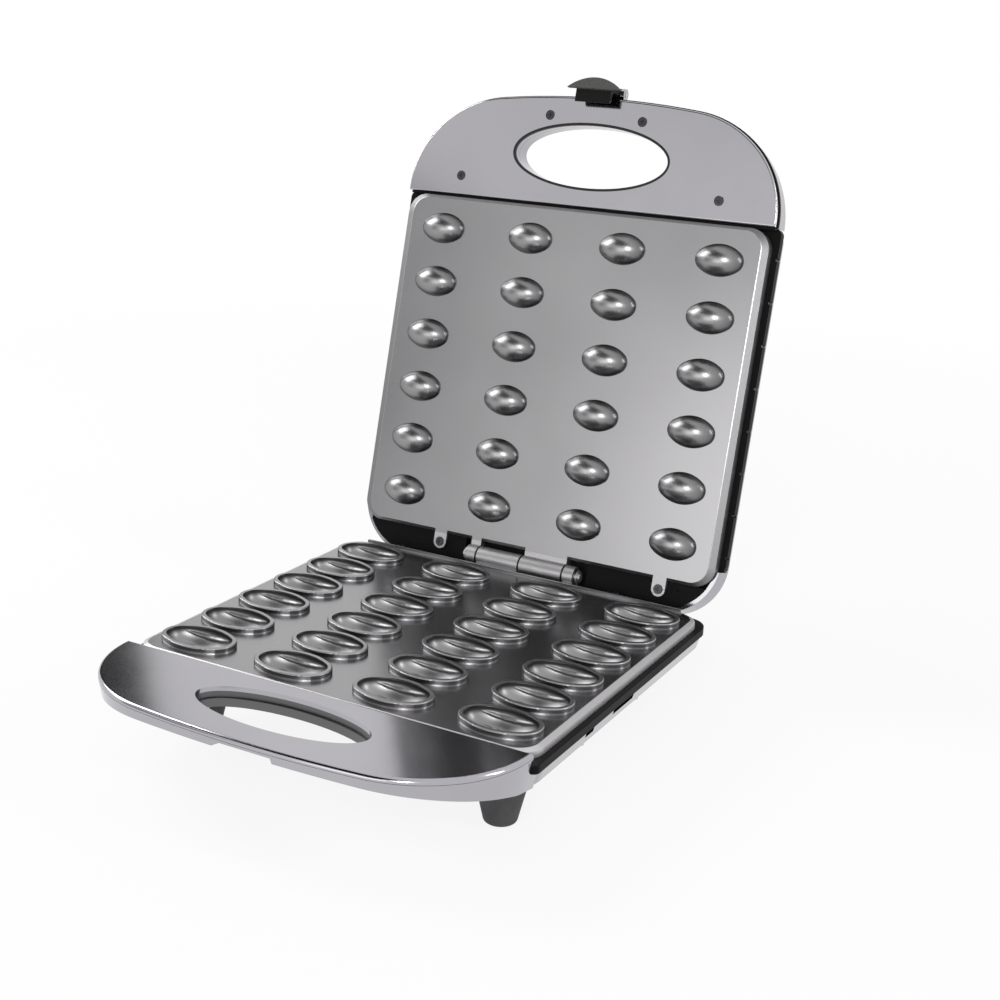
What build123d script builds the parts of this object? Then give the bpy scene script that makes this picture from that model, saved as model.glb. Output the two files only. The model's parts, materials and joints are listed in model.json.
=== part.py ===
from build123d import *
import math
import os

# A table-top walnut cake maker: two hinged halves, each with a cast aluminium baking plate.
# The lower plate has oval shell moulds, the upper one has the domes that press into them.
# Everything is modelled closed, in millimetres: X runs along the hinge, Y runs from the handles
# to the hinge, and Z = 0 is the plane where the rims of the moulds meet the upper plate.
# The lid pieces are then swung open, and the whole machine is moved to stand on Z = 0.

# Overall sizes
mating_height = 59.0
lid_height = 46.0
lid_open_angle = 103.9
hinge_y = 119.9
body_half_width = 130.0

# The grid of moulds
mould_columns = 4
mould_rows = 6
column_pitch = 64.5
row_pitch = 34.9
mouth_length = 42.0
mouth_width = 25.4
mouth_end_radius = 9.0
mould_wall = 2.5
rim_height = 3.2
rim_edge_round = 0.7
walnut_ridge_height = 0.8
walnut_ridge_radius = 45.0
walnut_ridge_angles = (62, 90, 118)
walnut_ridge_half_angle = 3.5
dome_length = 31.6
dome_width = 20.2
dome_end_radius = 7.2
dome_sink = 1.5
dome_wall = 2.4

# The two cast plates
plate_half_width = 126.0
plate_front = -108.6
plate_rear = 110.2
plate_corner = 13.0
plate_thickness = 3.0
plate_skirt_wall = 3.0
lower_edge_depth = 5.2
upper_edge_depth = 8.0
bevel_drop = 1.4
lower_side_bevel = 3.2
upper_side_bevel = 4.4
end_bevel = 2.0
rear_lip_height = 1.6
rear_lip_width = 1.6
closed_gap = 0.35
ear_width = 9.0
upper_ear_reach = 10.6
lower_ear_reach = 7.2
near_ear_x = 64.8
far_ear_x = 92.0

# The hinge
hinge_centre_x = -2.4
knuckle_radius = 6.5
pin_radius = 2.5
pin_running_clearance = 0.05
knuckle_gap = 1.2
long_knuckle = 30.0
short_knuckle = 7.0
pin_overhang = 3.4
clip_thickness = 1.0
clip_radius = 4.4
clip_groove_depth = 0.6
hinge_recess_clearance = 1.0

# Black frames between the plates and the silver shells
frame_flange = 4.6
frame_opening_half_width = 118.0
frame_opening_front = -101.6
frame_opening_rear = 103.4
frame_seat_gap = 0.2
plate_clearance = 0.3
lower_frame_half_width = 129.6
lower_frame_rear = 117.0
frame_corner = 14.0
apron_thickness = 2.6
side_band_rear = 99.0
dimple_x = 104.0
dimple_y = 114.8
vent_notch_pitch = 26.0
vent_notch_width = 1.6
vent_notch_depth = 1.2
vent_notch_count = 8

# Silver shells
shell_wall = 2.4
seam_gap = 0.2
housing_side_half_width = 127.0
housing_rear = 122.4
housing_waist_drop = 11.0
housing_waist_inset = 3.0
housing_floor_z = -36.0
housing_floor_half_width = 113.0
housing_floor_front = -103.0
housing_floor_rear = 111.0
lid_shell_rear = 132.5
lid_shell_corner = 37.0
lid_side_rim_z = 13.8
lid_rear_rim_z = 5.0
lid_rim_flare = 2.0
lid_bulge_z = 15.0
lid_top_inset = 30.0
lid_top_round = 15.0

# The two D-shaped handles
handle_front = -178.4
shoulder_x = 68.0
shoulder_y = -174.6
cheek_x = 109.4
cheek_y = -155.3
root_x = 128.0
root_y = -110.4
lower_handle_round = 2.2
upper_handle_face_round = 1.1
slot_half_length = 53.0
slot_half_width = 19.5
slot_y = -141.7
slot_step = 1.6
slot_collar_wall = 1.8
lower_handle_top_z = -1.0
handle_cover_thickness = 2.6
slot_collar_depth = 6.0
lower_skirt_front_z = -8.2
lower_skirt_rear_z = -22.5
skirt_draft = 9.0
slot_wall_depth = 11.0
hollow_inset = 4.4
scoop_half_width = 82.0
scoop_rear_y = -81.0
upper_handle_face_z = 1.0
handle_liner_thickness = 1.8
handle_liner_lip = 0.8
upper_handle_front_z = 12.4
upper_handle_rear_z = 21.0
upper_handle_round = 3.0
handle_screw_places = ((32.0, -165.8), (90.0, -122.6))
screw_head_recess = 1.3
handle_screw_recess = 2.0
notch_x = 2.0
notch_half_width = 17.5
notch_slope = 3.0
notch_roof_z = -5.0
notch_back_y = -171.0

# Feet
front_foot_x = 97.0
front_foot_y = -84.0
rear_foot_x = 84.0
rear_foot_y = 82.0
foot_top_radius = 14.2
foot_bottom_radius = 8.8
foot_sole_round = 2.4
foot_screw_recess_radius = 4.2
foot_screw_recess_depth = 9.0

# Latch
latch_pin_radius = 1.5
latch_pin_y = -182.8
latch_pin_z = 8.4
latch_barrel_radius = 3.5
latch_half_width = 12.0
lug_gap = 0.4
lug_thickness = 2.4
lug_radius = 3.6
latch_web = 2.2
hook_gap = 0.5
hook_thickness = 2.4
hook_reach = 7.6
grip_half_width = 18.2
grip_reach = 7.2
grip_thickness = 2.2
grip_lead = 1.2
grip_tilt = 15.0
latch_pin_overhang = 0.3
spring_wire_radius = 0.4
spring_coil_radius = 2.9
spring_pitch = 1.5
spring_turns = 5

# Screws and inner parts
screw_radius = 1.5
screw_head_radius = 2.9
screw_head_height = 1.8
screw_clearance = 0.25
drive_recess = 0.9
boss_radius = 4.0
element_radius = 3.3
element_half_width = 85.0
element_half_length = 70.0
element_bend = 14.0
element_tail_x = 20.0
element_tail_y = 94.0
element_gap = 0.3
terminal_pin_radius = 1.2
terminal_pin_length = 6.0
terminal_block_y = 99.0
frame_post_x = 116.5
frame_post_y = 34.9
frame_screw_recess = 5.0
lid_post_x = 112.0
lid_post_y = 70.0
shield_post_x = 60.0
shield_post_y = 78.0
clamp_post_x = 64.5
clamp_post_y = 34.9
clamp_thickness = 1.5
clamp_width = 12.0
clamp_reach = 26.0
shield_sheet = 0.8
shield_half_width = 106.0
shield_front = -86.0
shield_rear = 88.0
shield_lip = 4.0
thermostat_radius = 7.8
thermostat_body = 8.0
blade_length = 2.6
fuse_radius = 2.2
fuse_length = 13.0
lead_radius = 1.1
lamp_x = 14.0
lamp_y = -58.0
lens_radius = 4.2
lens_flange = 1.4
lens_height = 2.2
lamp_radius = 2.8
lamp_length = 13.0
inlet_x = 88.0
inlet_radius = 5.0
inlet_bore = 3.3
inlet_flange = 7.6

mould_centres = [
    ((column - (mould_columns - 1) / 2) * column_pitch, (row - (mould_rows - 1) / 2) * row_pitch)
    for column in range(mould_columns)
    for row in range(mould_rows)
]
lower_face_z = -rim_height
lower_skirt_z = lower_face_z - lower_edge_depth
upper_face_z = closed_gap
upper_skirt_z = upper_face_z + upper_edge_depth
upper_back_z = upper_face_z + plate_thickness
front_wall_y = root_y + seam_gap
housing_rim_z = lower_skirt_z - frame_seat_gap - frame_flange
flange_low_z = upper_skirt_z + frame_seat_gap
floor_top_z = housing_floor_z + shell_wall
apron_half_width = body_half_width - lid_rim_flare - shell_wall - seam_gap
apron_rear = lid_shell_rear - lid_rim_flare - shell_wall - seam_gap
apron_corner = lid_shell_corner - shell_wall - seam_gap
upper_ear_y = plate_rear + upper_ear_reach - ear_width / 2
lower_ear_y = plate_rear + lower_ear_reach - ear_width / 2


def slab(half_width, front, rear, front_corner, rear_corner, low, high):
    """A flat block with its own corner radii in front and behind."""
    return extrude(rounded(half_width, front, rear, front_corner, rear_corner, low), high - low)


def rounded(half_width, front, rear, front_corner, rear_corner, height):
    """A rounded rectangle lying at a height."""
    face = Pos(0, (front + rear) / 2, height) * Rectangle(2 * half_width, rear - front)
    face = fillet(face.vertices().group_by(Axis.Y)[0], front_corner)
    return fillet(face.vertices().group_by(Axis.Y)[-1], rear_corner)


def block(x_range, y_range, z_range):
    """A plain block from its two ends on each axis."""
    sizes = [high - low for low, high in (x_range, y_range, z_range)]
    middle = [(high + low) / 2 for low, high in (x_range, y_range, z_range)]
    return Pos(*middle) * Box(*sizes)


def rod(radius, x_range, y, z):
    """A round bar along X."""
    length = x_range[1] - x_range[0]
    return Pos((x_range[0] + x_range[1]) / 2, y, z) * Rot(0, 90, 0) * Cylinder(radius, length)


def post(radius, x, y, low, high):
    """A round upright from one height to another."""
    return Pos(x, y, (low + high) / 2) * Cylinder(radius, high - low)


def egg_corner(half_length, half_width, end_radius):
    """Where the side arc of an egg's outline meets its end arc, both being true arcs."""
    end_centre = half_length - end_radius
    flank = half_width - end_radius
    side_centre = (end_centre ** 2 - flank ** 2) / (2 * flank)
    share = end_radius / math.hypot(end_centre, side_centre)
    return end_centre * (1 + share), side_centre * share


def egg_bar(half_length, half_width, end_radius, low, high):
    """An upright bar with the outline of an egg cut lengthwise."""
    x, y = egg_corner(half_length, half_width, end_radius)
    outline = make_face([
        ThreePointArc((-x, y), (0, half_width), (x, y)),
        ThreePointArc((x, y), (half_length, 0), (x, -y)),
        ThreePointArc((x, -y), (0, -half_width), (-x, -y)),
        ThreePointArc((-x, -y), (-half_length, 0), (-x, y)),
    ])
    return extrude(Pos(0, 0, low) * outline, high - low)


def egg_profile(half_length, half_width, end_radius):
    """Half of an egg's outline between its two end arcs."""
    x, y = egg_corner(half_length, half_width, end_radius)
    return make_face([
        Polyline((-x, y), (-x, 0), (x, 0), (x, y)),
        ThreePointArc((x, y), (0, half_width), (-x, y)),
    ])


def egg_sector(profile, start, end):
    """Part of the lower half of an egg, turned about X between two angles."""
    return Rot(180 + start, 0, 0) * revolve(profile, Axis.X, revolution_arc=end - start)


def egg_ends(half_length, half_width, end_radius):
    """The two round ends of the lower half of an egg."""
    x, _ = egg_corner(half_length, half_width, end_radius)
    ends = []
    for side in (-1, 1):
        ball = Pos(side * (half_length - end_radius), 0, 0) * Rot(0, 0, 90 + side * 90) * Sphere(end_radius)
        ends.append(ball & block(sorted((side * x, side * 60)), (-60, 60), (-60, 0)))
    return ends


def oval(half_length, half_width, y, low, high):
    """An upright elliptical bar."""
    return extrude(Pos(0, y, low) * Ellipse(half_length, half_width), high - low)


def handle_outline(grow, height, back_y=root_y):
    """The D of both handles, closed behind by a straight line."""
    front = ThreePointArc((-shoulder_x, shoulder_y), (0, handle_front), (shoulder_x, shoulder_y))
    cheek = TangentArc((shoulder_x, shoulder_y), (cheek_x, cheek_y), tangent=front % 1)
    flank = TangentArc((cheek_x, cheek_y), (root_x, root_y), tangent=cheek % 1)
    edges = [front, cheek, flank]
    edges += [mirror(edge, about=Plane.YZ) for edge in (cheek, flank)]
    edges += [Line((-root_x, back_y), (root_x, back_y))]
    if back_y > root_y:
        edges += [Line((side * root_x, root_y), (side * root_x, back_y)) for side in (-1, 1)]
    face = make_face(edges)
    if grow:
        face = offset(face, amount=grow, kind=Kind.INTERSECTION)
    return Pos(0, 0, height) * face


def below_plane(front_z, rear_z, lower):
    """The half space under, or over, a plane that slopes from the handle's front to its root."""
    slope = math.degrees(math.atan2(rear_z - front_z, root_y - handle_front))
    size = 700
    side = -size / 2 if lower else size / 2
    return Pos(0, handle_front, front_z) * Rot(slope, 0, 0) * Pos(0, 0, side) * Box(size, size, size)


def screw(x, y, head_z, point_z):
    """A screw standing at x, y, with a cross recess in the outer side of its head."""
    toward_head = 1 if head_z > point_z else -1
    seat_z = head_z - toward_head * screw_head_height
    body = post(screw_radius, x, y, min(seat_z, point_z), max(seat_z, point_z))
    head = post(screw_head_radius, x, y, min(seat_z, head_z), max(seat_z, head_z))
    recess_z = head_z - toward_head * drive_recess / 2
    cross = Pos(x, y, recess_z) * Box(3.2, 0.8, drive_recess)
    cross += Pos(x, y, recess_z) * Box(0.8, 3.2, drive_recess)
    return body + head - cross


def screw_hole(x, y, low, high):
    return post(screw_radius + screw_clearance, x, y, low, high)


def symmetric_places(places):
    return [(side * x, y) for x, y in places for side in (-1, 1)]


# Cast plates. Each is a shallow tray turned upside down, with a bevelled edge and a skirt.
def plate_tray(face_z, skirt_z, side_bevel):
    toward_skirt = 1 if skirt_z > face_z else -1
    bevel_z = face_z + toward_skirt * bevel_drop
    back_z = face_z + toward_skirt * plate_thickness
    top = rounded(
        plate_half_width - side_bevel,
        plate_front + end_bevel,
        plate_rear - end_bevel,
        plate_corner - end_bevel,
        plate_corner - end_bevel,
        face_z,
    )
    shoulder = rounded(plate_half_width, plate_front, plate_rear, plate_corner, plate_corner, bevel_z)
    tray = loft([top, shoulder], ruled=True)
    tray += slab(
        plate_half_width, plate_front, plate_rear, plate_corner, plate_corner,
        min(bevel_z, skirt_z), max(bevel_z, skirt_z),
    )
    inner_corner = plate_corner - plate_skirt_wall
    tray -= slab(
        plate_half_width - plate_skirt_wall,
        plate_front + plate_skirt_wall,
        plate_rear - plate_skirt_wall,
        inner_corner, inner_corner,
        min(back_z, skirt_z), max(back_z, skirt_z),
    )
    return tray


def plate_ear(x, y, face_z, toward_skirt):
    """A flat lug behind the plate's rear edge, with a hole for its screw."""
    low, high = sorted((face_z, face_z + toward_skirt * plate_thickness))
    ear = block((x - ear_width / 2, x + ear_width / 2), (plate_rear - plate_skirt_wall, y), (low, high))
    ear += post(ear_width / 2, x, y, low, high)
    return ear - screw_hole(x, y, low, high)


def knuckle(x_range, bore_radius, face_z, toward_skirt):
    """One hinge knuckle with the web that joins it to its plate."""
    web_z = sorted((face_z, toward_skirt * knuckle_radius))
    web = block(x_range, (plate_rear - plate_skirt_wall, hinge_y), web_z)
    body = web + rod(knuckle_radius, x_range, hinge_y, 0)
    return body - rod(bore_radius, (x_range[0] - 1, x_range[1] + 1), hinge_y, 0)


long_start = knuckle_gap / 2
long_end = long_start + long_knuckle
short_start = long_end + knuckle_gap
short_end = short_start + short_knuckle
lower_knuckles = [
    (hinge_centre_x - long_end, hinge_centre_x - long_start),
    (hinge_centre_x + short_start, hinge_centre_x + short_end),
]
upper_knuckles = [
    (hinge_centre_x + long_start, hinge_centre_x + long_end),
    (hinge_centre_x - short_end, hinge_centre_x - short_start),
]
pin_start = hinge_centre_x - short_end - pin_overhang
pin_end = hinge_centre_x + short_end + pin_overhang
clip_x = [
    hinge_centre_x - short_end - knuckle_gap - clip_thickness,
    hinge_centre_x + short_end + knuckle_gap,
]
bore_radius = pin_radius + pin_running_clearance

# One mould: a raised oval rim over a half-egg hollow, with lengthwise walnut ridges inside.
mouth = (mouth_length / 2, mouth_width / 2, mouth_end_radius)
mould_outside = tuple(size + mould_wall for size in mouth)
mould_outer_width = mould_outside[1]
mould_low_z = lower_face_z - plate_thickness / 2
mould_shell = egg_sector(egg_profile(*mould_outside), 0, 180) + egg_ends(*mould_outside)
mould_shell -= block((-60, 60), (-60, 60), (mould_low_z, 60))
mould_rim = egg_bar(*mould_outside, mould_low_z, 0)
mould_rim = fillet(mould_rim.edges().group_by(Axis.Z)[-1], rim_edge_round)
plain_profile = egg_profile(*mouth)
ridge_curve_y = mouth_width / 2 - walnut_ridge_height - walnut_ridge_radius
ridge_profile = plain_profile & Pos(0, ridge_curve_y) * Circle(walnut_ridge_radius)
mould_hollow = egg_bar(*mouth, 0, 1)
sector_start = 0
for ridge_angle in walnut_ridge_angles:
    ridge_start = ridge_angle - walnut_ridge_half_angle
    ridge_end = ridge_angle + walnut_ridge_half_angle
    mould_hollow += egg_sector(plain_profile, sector_start, ridge_start)
    mould_hollow += egg_sector(ridge_profile, ridge_start, ridge_end)
    sector_start = ridge_end
mould_hollow += egg_sector(plain_profile, sector_start, 180)
mould_hollow += egg_ends(*mouth)

clamp_places = symmetric_places([(clamp_post_x, clamp_post_y), (clamp_post_x, -clamp_post_y)])
lower_element_z = -mould_outer_width - element_gap - element_radius
upper_element_z = upper_back_z + element_gap + element_radius
lower_clamp_z = lower_element_z - element_radius - element_gap
upper_clamp_z = upper_element_z + element_radius + element_gap

lower_plate = plate_tray(lower_face_z, lower_skirt_z, lower_side_bevel)
lower_plate += block(
    (-plate_half_width + plate_corner, plate_half_width - plate_corner),
    (plate_rear - rear_lip_width, plate_rear),
    (lower_face_z - bevel_drop, lower_face_z + rear_lip_height),
)
lower_plate += [Pos(x, y, 0) * mould_shell for x, y in mould_centres]
lower_plate += [Pos(x, y, 0) * mould_rim for x, y in mould_centres]
lower_plate -= [Pos(x, y, 0) * mould_hollow for x, y in mould_centres]
lower_plate += [knuckle(x_range, bore_radius, lower_face_z, -1) for x_range in lower_knuckles]
lower_plate += [plate_ear(x, lower_ear_y, lower_face_z, -1) for x in (-far_ear_x, near_ear_x)]
for x in (-far_ear_x, near_ear_x):
    lower_plate -= post(screw_head_radius + screw_clearance, x, lower_ear_y, lower_face_z, 5)
for x, y in clamp_places:
    lower_plate += post(boss_radius, x, y, lower_clamp_z, lower_face_z - plate_thickness / 2)
    lower_plate -= post(screw_radius, x, y, lower_clamp_z, lower_clamp_z + 8)

# The upper plate's domes are hollow from behind.
dome_z = upper_face_z + dome_sink
dome_outside = (dome_length / 2, dome_width / 2, dome_end_radius)
dome_inside = tuple(size - dome_wall for size in dome_outside)
dome_outer = egg_sector(egg_profile(*dome_outside), 0, 180) + egg_ends(*dome_outside)
dome_outer = Pos(0, 0, dome_z) * dome_outer
dome_inner = egg_sector(egg_profile(*dome_inside), 0, 180) + egg_ends(*dome_inside)
dome_inner = Pos(0, 0, dome_z) * dome_inner
dome_back = egg_bar(*dome_inside, dome_z, 20)

upper_plate = plate_tray(upper_face_z, upper_skirt_z, upper_side_bevel)
upper_plate += [Pos(x, y, 0) * dome_outer for x, y in mould_centres]
upper_plate -= [Pos(x, y, 0) * dome_inner for x, y in mould_centres]
upper_plate -= [Pos(x, y, 0) * dome_back for x, y in mould_centres]
upper_plate += [knuckle(x_range, bore_radius, upper_face_z, 1) for x_range in upper_knuckles]
upper_plate += [plate_ear(x, upper_ear_y, upper_face_z, 1) for x in (-near_ear_x, far_ear_x)]
for x in (-near_ear_x, far_ear_x):
    head_top_z = upper_face_z + screw_head_recess
    upper_plate -= post(screw_head_radius + screw_clearance, x, upper_ear_y, -5, head_top_z)
for x, y in clamp_places:
    upper_plate += post(boss_radius, x, y, upper_back_z - plate_thickness / 2, upper_clamp_z)
    upper_plate -= post(screw_radius, x, y, upper_clamp_z - 6, upper_clamp_z)

# Hinge pin with a groove near each end for its clip.
hinge_pin = rod(pin_radius, (pin_start, pin_end), hinge_y, 0)
pin_clips = []
for x in clip_x:
    groove = rod(pin_radius + 1, (x, x + clip_thickness), hinge_y, 0)
    groove -= rod(pin_radius - clip_groove_depth, (x - 1, x + clip_thickness + 1), hinge_y, 0)
    hinge_pin -= groove
    clip = rod(clip_radius, (x + 0.1, x + clip_thickness - 0.1), hinge_y, 0)
    clip -= rod(pin_radius - clip_groove_depth + 0.1, (x - 1, x + clip_thickness + 1), hinge_y, 0)
    clip -= block((x - 1, x + 2), (hinge_y - 1.6, hinge_y + 1.6), (-clip_radius - 1, 0))
    pin_clips.append(clip)

# Lower black frame: the ledge that the lower plate sits on, closed in front by a low wall.
frame_post_places = symmetric_places([(frame_post_x, frame_post_y), (frame_post_x, -frame_post_y)])
frame_post_low_z = floor_top_z + 10
lower_frame_top_z = lower_skirt_z - frame_seat_gap


def frame_ring(half_width, front, rear, front_corner, rear_corner, low, high):
    ring = slab(half_width, front, rear, front_corner, rear_corner, low, high)
    return ring - slab(
        frame_opening_half_width, frame_opening_front, frame_opening_rear, 10, 10, low - 1, high + 1
    )


lower_frame = frame_ring(
    lower_frame_half_width, front_wall_y, lower_frame_rear,
    4, frame_corner, housing_rim_z, lower_frame_top_z,
)
lower_frame += block(
    (-root_x + shell_wall + 1, root_x - shell_wall - 1),
    (front_wall_y, plate_front - frame_seat_gap),
    (housing_rim_z, lower_handle_top_z - handle_cover_thickness),
)
for x, y in frame_post_places:
    lower_frame += post(boss_radius, x, y, frame_post_low_z, lower_frame_top_z - 1)
    lower_frame -= post(screw_radius, x, y, frame_post_low_z, frame_post_low_z + 8)
for x in (-far_ear_x, near_ear_x):
    ear_back_z = lower_face_z - plate_thickness
    seat_y = (plate_rear + frame_seat_gap, lower_frame_rear)
    lower_frame += block((x - 5, x + 5), seat_y, (housing_rim_z, ear_back_z))
    lower_frame -= post(screw_radius, x, lower_ear_y, ear_back_z - 7, ear_back_z)
for x_range in upper_knuckles + lower_knuckles:
    lower_frame -= rod(knuckle_radius + hinge_recess_clearance, (x_range[0] - 1, x_range[1] + 1), hinge_y, 0)


# Lower silver housing: side walls, floor and the lower half of the handle in one moulding.
def housing_body(inset, rim_z, floor_z):
    waist_z = housing_rim_z - housing_waist_drop
    corner = frame_corner - inset
    sections = [
        rounded(
            housing_side_half_width - inset, plate_front + inset, housing_rear - inset,
            corner, corner, rim_z,
        ),
        rounded(
            housing_side_half_width - housing_waist_inset - inset, plate_front + inset,
            housing_rear - inset, corner, corner, waist_z,
        ),
        rounded(
            housing_floor_half_width - inset, housing_floor_front + inset,
            housing_floor_rear - inset, corner, corner, floor_z,
        ),
    ]
    return loft(sections, ruled=True)


def lower_handle_wedge(inset, top_z):
    depth = top_z - lower_skirt_rear_z + 4
    face = handle_outline(-inset, top_z, plate_front + 8)
    wedge = extrude(face, -depth, taper=skirt_draft)
    wedge -= below_plane(lower_skirt_front_z + inset, lower_skirt_rear_z + inset, True)
    return wedge - block((-200, 200), (root_y, 200), (housing_rim_z, 0))


lower_handle_seam_z = lower_handle_top_z - handle_cover_thickness - seam_gap
lower_housing = housing_body(0, housing_rim_z, housing_floor_z)
lower_housing += lower_handle_wedge(0, lower_handle_seam_z)
lower_housing -= housing_body(shell_wall, housing_rim_z, floor_top_z)
lower_housing -= lower_handle_wedge(shell_wall, lower_handle_seam_z)

# The handle is hollow from below, so the finger slot's wall is short and a wide scoop in the
# housing's front leaves room for the fingers.
underside_z = lower_handle_top_z - slot_wall_depth
outer_body = housing_body(0, housing_rim_z, housing_floor_z)
hollow_face = handle_outline(-hollow_inset, underside_z, plate_front + 8)
lower_housing -= extrude(hollow_face, -20, taper=skirt_draft) - outer_body
lower_housing += lower_handle_wedge(0, lower_handle_seam_z) & block(
    (-200, 200), (handle_front, plate_front + 1), (underside_z, underside_z + shell_wall)
)
front_wall = outer_body - housing_body(shell_wall, housing_rim_z, floor_top_z)
lower_housing += front_wall & block(
    (-200, 200), (plate_front - 1, plate_front + 9), (housing_floor_z, underside_z + shell_wall)
)


def scoop(half_width, lift):
    """A prism under the slope from the slot's wall down to the housing's floor."""
    slot_rear_y = slot_y + slot_half_width
    slope = make_face(Polyline(
        (slot_rear_y, underside_z + lift),
        (scoop_rear_y, housing_floor_z + lift),
        (scoop_rear_y, housing_floor_z - 10),
        (slot_rear_y, housing_floor_z - 10),
        close=True,
    ))
    return Pos(-half_width, 0, 0) * extrude(Plane.YZ * slope, 2 * half_width)


lower_housing += scoop(scoop_half_width + shell_wall, shell_wall * 1.15) & outer_body
lower_housing -= scoop(scoop_half_width, 0)
collar = oval(
    slot_half_length - slot_step + slot_collar_wall, slot_half_width - slot_step + slot_collar_wall,
    slot_y, underside_z, lower_handle_top_z - slot_collar_depth - seam_gap,
)
lower_housing += collar - below_plane(lower_skirt_front_z, lower_skirt_rear_z, True)
lower_housing -= oval(slot_half_length - slot_step, slot_half_width - slot_step, slot_y, -60, 10)
lower_screw_places = symmetric_places(handle_screw_places)
skirt_slope = (lower_skirt_rear_z - lower_skirt_front_z) / (root_y - handle_front)
for x, y in lower_screw_places:
    under_z = lower_skirt_front_z + skirt_slope * (y - handle_front)
    boss = post(boss_radius, x, y, under_z - 1, lower_handle_seam_z - 3)
    lower_housing += boss - below_plane(lower_skirt_front_z, lower_skirt_rear_z, True)
    lower_housing -= screw_hole(x, y, -60, 10)
    lower_housing -= post(screw_head_radius + screw_clearance, x, y, under_z - 3, under_z + 2.2)
notch_face = make_face(Polyline(
    (-notch_half_width, notch_roof_z),
    (notch_half_width, notch_roof_z),
    (notch_half_width + notch_slope, notch_roof_z - 12),
    (-notch_half_width - notch_slope, notch_roof_z - 12),
    close=True,
))
notch = Pos(notch_x, notch_back_y, 0) * extrude(Plane.XZ * notch_face, 30)
lower_housing -= notch
foot_places = symmetric_places([(front_foot_x, front_foot_y), (rear_foot_x, rear_foot_y)])
for x, y in foot_places:
    lower_housing += post(boss_radius + 1, x, y, floor_top_z - 1, floor_top_z + 5)
    lower_housing -= post(screw_radius, x, y, housing_floor_z, floor_top_z + 4.5)
for x, y in frame_post_places:
    boss = post(boss_radius + 0.4, x, y, housing_floor_z - 8, frame_post_low_z - seam_gap)
    lower_housing += boss & housing_body(0.5, housing_rim_z, housing_floor_z)
    lower_housing -= screw_hole(x, y, -60, frame_post_low_z)
    seat_z = floor_top_z + frame_screw_recess
    lower_housing -= post(screw_head_radius + screw_clearance, x, y, -60, seat_z)
for low_y, high_y in ((-46, -36), (-12, 14)):
    for side in (-1, 1):
        vent_x = sorted((side * (housing_side_half_width - 7), side * (housing_side_half_width + 3)))
        lower_housing -= block(vent_x, (low_y, high_y), (housing_rim_z - 7.0, housing_rim_z - 2.4))
for row in range(7):
    slot = block((-30, 30), (-1.5, 1.5), (housing_floor_z - 1, floor_top_z + 1))
    lower_housing -= Pos(0, (row - 3) * 12.0, 0) * slot
waist_z = housing_rim_z - housing_waist_drop
inlet_slope = Plane(
    origin=(inlet_x, (housing_rear + housing_floor_rear) / 2, (waist_z + housing_floor_z) / 2),
    x_dir=(1, 0, 0),
    z_dir=(0, waist_z - housing_floor_z, housing_floor_rear - housing_rear),
)
lower_housing -= inlet_slope * Cylinder(inlet_radius + 0.1, 20)
stop_low_z = housing_rim_z - 2
stop_top_z = housing_rim_z + 1.4
for side in (-1, 1):
    lower_housing -= Pos(side * root_x, root_y - 4.2, -9.5) * Box(1.4, 1.6, 9)
    lower_housing += Pos(side * 100, housing_rear - 0.75, (stop_low_z + stop_top_z) / 2) * Box(
        8, 1.5, stop_top_z - stop_low_z
    )

# Lower handle cover: the silver D-shaped top with the upper half of the finger slot's wall.
lower_cover = extrude(
    handle_outline(0, lower_handle_top_z - handle_cover_thickness), handle_cover_thickness
)
lower_cover = fillet(lower_cover.faces().sort_by(Axis.Z)[-1].outer_wire().edges(), lower_handle_round)
lower_cover += oval(
    slot_half_length + slot_collar_wall, slot_half_width + slot_collar_wall, slot_y,
    lower_handle_top_z - slot_collar_depth, lower_handle_top_z - 1,
)
lower_cover -= oval(slot_half_length, slot_half_width, slot_y, -60, 10)
for x, y in lower_screw_places:
    under_z = lower_skirt_front_z + skirt_slope * (y - handle_front)
    low_z = lower_handle_seam_z - 3 + seam_gap
    lower_cover += post(boss_radius, x, y, low_z, lower_handle_top_z - 1)
    lower_cover -= post(screw_radius, x, y, low_z - 1, lower_handle_top_z - 1)

# Upper black frame: side ledges and the rear apron behind the plate's ears. A thin black liner
# of its own parts the two silver halves of the handle.
upper_frame = frame_ring(
    body_half_width, front_wall_y, side_band_rear, 4, 4,
    flange_low_z, lid_side_rim_z - seam_gap,
)
upper_frame += frame_ring(
    apron_half_width, plate_front + 10, apron_rear, 4, apron_corner,
    flange_low_z, lid_side_rim_z - seam_gap,
)
apron = slab(
    apron_half_width, plate_front + 10, apron_rear, 4, apron_corner,
    upper_back_z, upper_back_z + apron_thickness,
)
rear_wall = slab(
    apron_half_width, plate_front + 10, apron_rear, 4, apron_corner, upper_back_z, flange_low_z
)
rear_wall -= slab(
    apron_half_width - 2, plate_front + 10, apron_rear - 2, 4, apron_corner - 2, 0, 20
)
keep_rear = block((-200, 200), (plate_rear + frame_seat_gap, 200), (-1, 20))
upper_frame += (apron + rear_wall) & keep_rear
apron_brace = block(
    (-apron_half_width, apron_half_width),
    (plate_rear + frame_seat_gap, plate_rear + frame_seat_gap + 2),
    (upper_back_z, flange_low_z + 1),
)
upper_frame += apron_brace & slab(
    apron_half_width, plate_front + 10, apron_rear, 4, apron_corner, upper_back_z, flange_low_z + 1
)
recess = (upper_knuckles[1][0] - 5.4, lower_knuckles[1][1] + 5.4)
upper_frame += block(
    (recess[0] - 2, recess[1] + 2), (plate_rear + 2, apron_rear - 1), (upper_back_z, flange_low_z + 1)
)
upper_frame -= rod(knuckle_radius + hinge_recess_clearance, recess, hinge_y, 0)
upper_frame -= block(recess, (plate_rear, hinge_y), (0, knuckle_radius + hinge_recess_clearance))
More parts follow.
